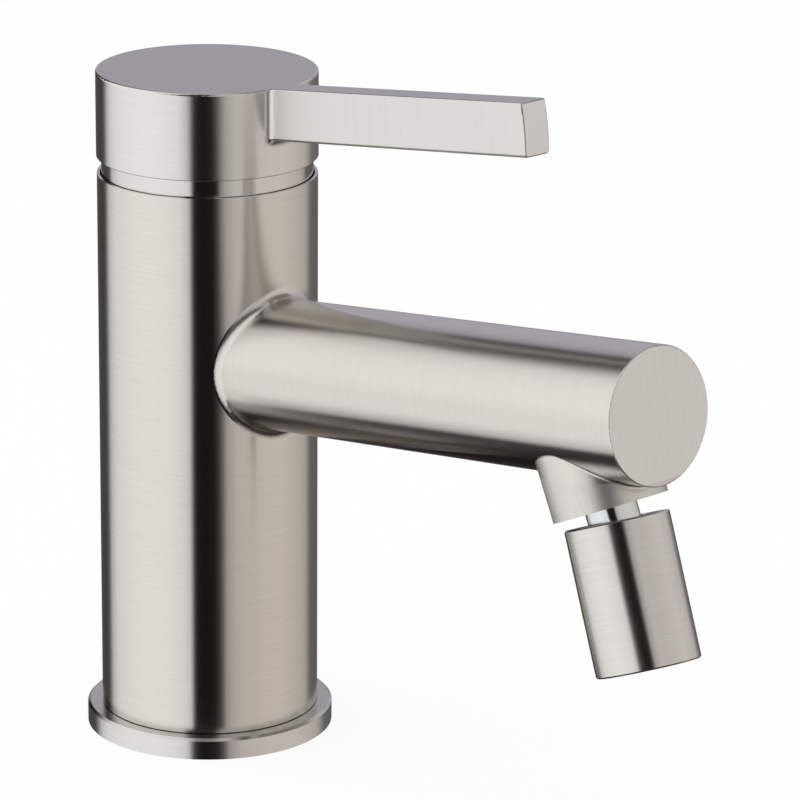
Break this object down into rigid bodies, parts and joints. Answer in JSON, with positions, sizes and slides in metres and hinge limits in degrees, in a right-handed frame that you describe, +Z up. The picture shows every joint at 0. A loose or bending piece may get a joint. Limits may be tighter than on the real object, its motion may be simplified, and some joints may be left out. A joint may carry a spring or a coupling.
{
  "type": "bidet mixer",
  "caption": "Single-lever bidet mixer with an upright round body, a rising round spout, a ball-jointed aerator and a ceramic-disc cartridge.",
  "frame": {"origin": "centre of the flange's underside, on the deck", "axes": "+Z up along the body's axis, -Y along the spout and the lever, +X to the user's right"},
  "size_m": [0.05, 0.1582, 0.1459],
  "materials": {
    "brushed_nickel": "brass castings, satin brushed nickel plating",
    "polished_chrome": "polished chrome plating",
    "turned_brass": "bare turned brass",
    "stainless_steel": "stainless steel, plain",
    "black_rubber": "nitrile rubber, matt",
    "alumina_ceramic": "lapped alumina ceramic",
    "cartridge_plastic": "moulded glass-filled plastic",
    "aerator_plastic": "moulded acetal",
    "index_plastic": "gloss plastic, half red and half blue"
  },
  "bodies": {
    "mixer_body": {"body_casting": "brushed_nickel", "base_flange": "brushed_nickel", "base_gasket": "black_rubber", "cartridge_base": "cartridge_plastic", "base_seals": "black_rubber", "fixed_ceramic_disc": "alumina_ceramic", "cartridge_housing": "cartridge_plastic", "clamp_nut": "turned_brass", "cover_ring": "brushed_nickel", "cover_o_ring": "black_rubber", "ball_stem": "polished_chrome", "stem_o_ring": "black_rubber"},
    "rotor": {"cartridge_rotor": "cartridge_plastic", "hinge_pin": "stainless_steel"},
    "lever_handle": {"handle": "brushed_nickel", "cartridge_stem": "turned_brass", "grub_screw": "stainless_steel", "index_plug": "index_plastic"},
    "upper_disc": {"disc_carrier": "cartridge_plastic", "moving_ceramic_disc": "alumina_ceramic"},
    "ball_ring": {"ball_o_ring": "black_rubber"},
    "aerator": {"aerator_housing": "brushed_nickel", "ball_seat": "aerator_plastic", "lower_ball_seat": "aerator_plastic", "aerator_washer": "black_rubber", "aerator_shell": "aerator_plastic", "aerator_screen": "stainless_steel", "aerator_insert": "aerator_plastic"}
  },
  "joints": [
    {"name": "lever_swing", "type": "hinge", "parent": "mixer_body", "child": "rotor", "pos_m": [0, 0, 0.10385], "axis": [0, 0, 1], "range_deg": [-50, 50]},
    {"name": "lever_lift", "type": "hinge", "parent": "rotor", "child": "lever_handle", "pos_m": [0, 0, 0.10385], "axis": [-1, 0, 0], "range_deg": [0, 24.5]},
    {"name": "disc_slide", "type": "slide", "parent": "rotor", "child": "upper_disc", "axis": [0, -1, 0], "range_m": [0, 0.0041]},
    {"name": "aerator_turn", "type": "hinge", "parent": "mixer_body", "child": "ball_ring", "pos_m": [0, -0.11565, 0.0652], "axis": [0, -0.417, -0.9089], "continuous": true},
    {"name": "aerator_tilt", "type": "hinge", "parent": "ball_ring", "child": "aerator", "pos_m": [0, -0.11565, 0.0652], "axis": [0.738, 0.6134, -0.2814], "range_deg": [-19, 10.8]}
  ],
  "couplings": [
    {"joint": "disc_slide", "follows": "lever_lift", "m_per_rad": 0.009229}
  ]
}
